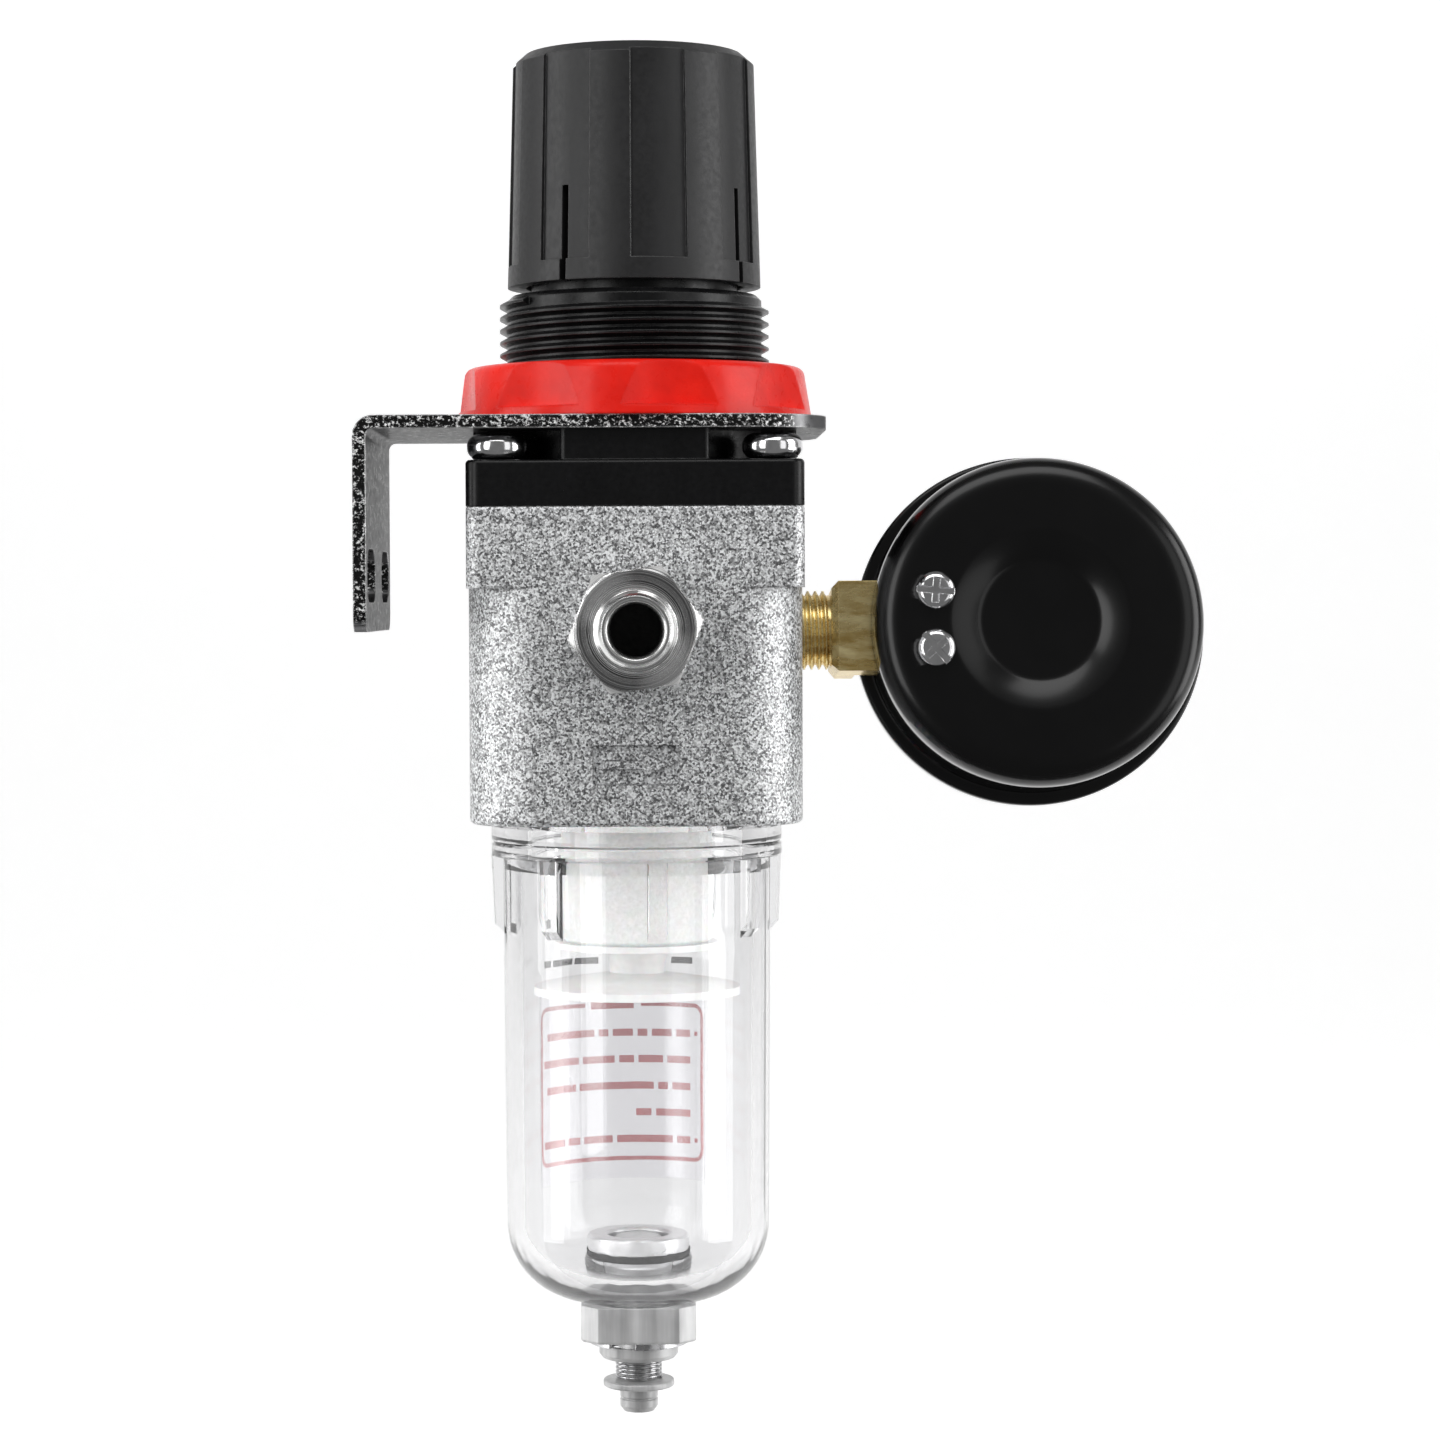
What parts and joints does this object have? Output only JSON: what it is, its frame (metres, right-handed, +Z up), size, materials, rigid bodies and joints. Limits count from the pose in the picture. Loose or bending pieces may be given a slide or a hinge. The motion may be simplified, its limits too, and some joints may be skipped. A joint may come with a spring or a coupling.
{
  "type": "compressed air filter regulator",
  "caption": "Compressed air filter and pressure regulator with adjusting knob, red panel nut, angle bracket, side pressure gauge, threaded inlet and clear bowl with a push drain.",
  "frame": {"origin": "midway between the bracket's two slots, on the face of the bracket that lies against the wall", "axes": "+X points away from the wall, +Z is up along the regulator's axis, -Y is the inlet side and +Y the outlet side, where the gauge's dial faces"},
  "size_m": [0.1034, 0.0578, 0.1668],
  "materials": {
    "cast_body": "sand-textured die casting",
    "black_plastic": "moulded, slight gloss",
    "knob_black": "matte with satin edges",
    "nut_red": "glossy moulding",
    "zinc_steel": "bright zinc plate",
    "screw_chrome": "bright plate",
    "spring_steel": "drawn wire",
    "plain_steel": "turned and plated",
    "nipple_steel": "nickel plate over turned brass",
    "brass": "turned, bright",
    "case_black": "gloss black enamel",
    "dial_white": "printed dial",
    "pointer_black": "matt black",
    "clear_bowl": "clear moulded plastic",
    "clear_lens": "clear moulded plastic",
    "rubber_black": "moulded",
    "filter_white": "sintered, porous",
    "white_plastic": "moulded",
    "label_film": "printed film",
    "drain_metal": "turned, satin"
  },
  "bodies": {
    "housing": {"body": "cast_body", "bonnet": "black_plastic", "bracket": "zinc_steel", "bonnet_screws": "screw_chrome", "diaphragm": "rubber_black", "valve_guide": "white_plastic", "swirl_ring": "white_plastic", "filter_element": "filter_white", "baffle": "white_plastic", "inlet_nipple": "nipple_steel", "port_plug": "plain_steel", "gauge_case": "case_black", "gauge_stem": "brass", "gauge_case_screws": "plain_steel", "gauge_lens": "clear_lens", "gauge_dial": "dial_white", "dial_screws": "plain_steel", "bourdon_tube": "brass", "movement_frame": "brass", "range_spring": "spring_steel", "valve_spring": "spring_steel"},
    "screw": {"adjusting_screw": "plain_steel", "screw_retainer": "spring_steel"},
    "knob": {"knob": "knob_black"},
    "spring_seat": {"spring_seat": "plain_steel"},
    "valve": {"diaphragm_plate": "brass", "relief_washer": "plain_steel", "valve_stem": "brass", "valve_seal": "rubber_black"},
    "panel_nut": {"panel_nut": "nut_red"},
    "bowl_seal": {"bowl_seal": "rubber_black"},
    "bowl": {"bowl": "clear_bowl", "bowl_label": "label_film", "drain_bush": "drain_metal", "drain_gasket": "rubber_black", "drain_nut": "drain_metal", "drain_clip": "spring_steel", "drain_cap": "drain_metal", "drain_spring": "spring_steel"},
    "drain": {"drain_stem": "drain_metal", "drain_push_ring": "drain_metal", "drain_seal": "rubber_black"},
    "gauge_sector": {"sector_gear": "brass"},
    "gauge_pointer": {"pointer": "pointer_black"}
  },
  "joints": [
    {"name": "screw_turn", "type": "hinge", "parent": "housing", "child": "screw", "pos_m": [0.0332, 0, 0.0335], "axis": [0, 0, -1], "range_deg": [0, 1800]},
    {"name": "knob_lift", "type": "slide", "parent": "screw", "child": "knob", "axis": [0, 0, 1], "range_m": [0, 0.003]},
    {"name": "seat_travel", "type": "slide", "parent": "housing", "child": "spring_seat", "axis": [0, 0, -1], "range_m": [0, 0.0051], "deforming": ["range_spring"]},
    {"name": "valve_open", "type": "slide", "parent": "housing", "child": "valve", "axis": [0, 0, -1], "range_m": [0, 0.0008], "stiffness_N_per_m": 2000, "springref_m": -0.002, "deforming": ["valve_spring", "diaphragm"]},
    {"name": "nut_run", "type": "slide", "parent": "housing", "child": "panel_nut", "axis": [0, 0, 1], "range_m": [0, 0.008]},
    {"name": "bowl_drop", "type": "slide", "parent": "housing", "child": "bowl_seal", "axis": [0, 0, -1], "range_m": [0, 0.04]},
    {"name": "bowl_turn", "type": "hinge", "parent": "bowl_seal", "child": "bowl", "pos_m": [0.0332, 0, -0.0465], "axis": [0, 0, -1], "range_deg": [0, 1080]},
    {"name": "drain_push", "type": "slide", "parent": "bowl", "child": "drain", "axis": [0, 0, 1], "range_m": [0, 0.0018], "stiffness_N_per_m": 300, "springref_m": -0.003, "deforming": ["drain_spring"]},
    {"name": "sector_swing", "type": "hinge", "parent": "housing", "child": "gauge_sector", "pos_m": [0.0908, 0, -0.00685], "axis": [0, -0.994, 0.1097], "range_deg": [-54, 0]},
    {"name": "pointer_swing", "type": "hinge", "parent": "housing", "child": "gauge_pointer", "pos_m": [0.0818, 0, -0.00685], "axis": [0, -0.994, 0.1097], "range_deg": [0, 270.5]}
  ],
  "couplings": [
    {"joint": "seat_travel", "follows": "screw_turn", "m_per_rad": 0.00015915},
    {"joint": "pointer_swing", "follows": "sector_swing", "ratio": -5}
  ]
}
